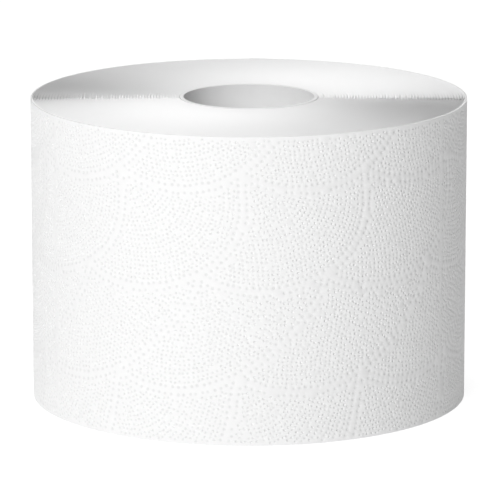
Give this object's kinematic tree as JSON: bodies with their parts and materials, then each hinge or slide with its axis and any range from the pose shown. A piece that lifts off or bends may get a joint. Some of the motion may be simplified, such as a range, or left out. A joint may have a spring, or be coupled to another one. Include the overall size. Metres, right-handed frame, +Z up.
{
  "type": "toilet paper roll",
  "caption": "Full roll of white embossed toilet paper on a board tube, standing on its end, both ends sawn flush.",
  "frame": {"origin": "on the tube's axis, in the lower sawn end that the roll stands on", "axes": "+Z up along the tube's axis, -Y towards the front, +Y towards the glued tail at the back"},
  "size_m": [0.1337, 0.1339, 0.093],
  "materials": {
    "tissue": "soft matte, embossed with small round dents",
    "core_board": "matte pale board, spirally wound"
  },
  "bodies": {
    "root": {"wound_tissue": "tissue", "core_tube": "core_board"}
  },
  "joints": []
}
